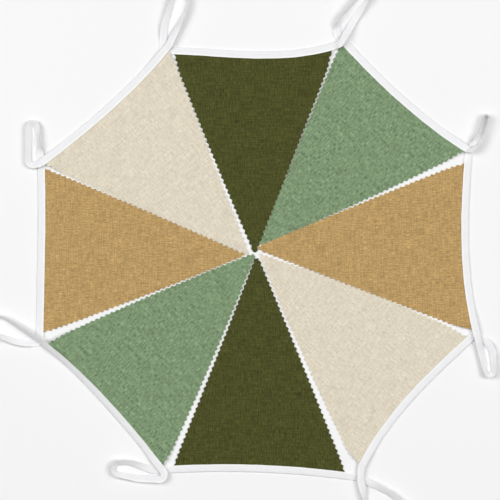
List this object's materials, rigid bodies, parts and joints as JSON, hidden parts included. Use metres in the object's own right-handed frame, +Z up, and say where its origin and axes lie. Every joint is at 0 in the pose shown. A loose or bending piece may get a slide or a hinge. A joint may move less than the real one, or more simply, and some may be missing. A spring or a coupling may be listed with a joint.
{
  "type": "fabric bunting",
  "caption": "Fabric bunting laid flat as a wheel: triangular pinked flags with their points together, held by one folded tape that stands in a loop between each two.",
  "frame": {"origin": "middle of the whole laid-out string, on the surface it lies on; the wheel's own middle is 15 mm to +X and 9 mm to +Y of it", "axes": "+Z up from the surface, +Y towards the top of the picture, +X towards its right"},
  "size_m": [0.4798, 0.5138, 0.0076],
  "materials": {
    "olive_cloth": "matt plain-weave cloth, dark olive green",
    "sage_cloth": "matt plain-weave cloth, sage green",
    "tan_cloth": "matt plain-weave cloth, tan",
    "cream_cloth": "matt plain-weave cloth, cream",
    "white_tape": "soft white cotton tape, folded in half"
  },
  "bodies": {
    "root": {"flag_olive_bottom": "olive_cloth", "flag_sage_lower_left": "sage_cloth", "flag_tan_left": "tan_cloth", "flag_cream_upper_left": "cream_cloth", "flag_olive_top": "olive_cloth", "flag_sage_upper_right": "sage_cloth", "flag_tan_right": "tan_cloth", "flag_cream_lower_right": "cream_cloth", "tape": "white_tape"}
  },
  "joints": []
}
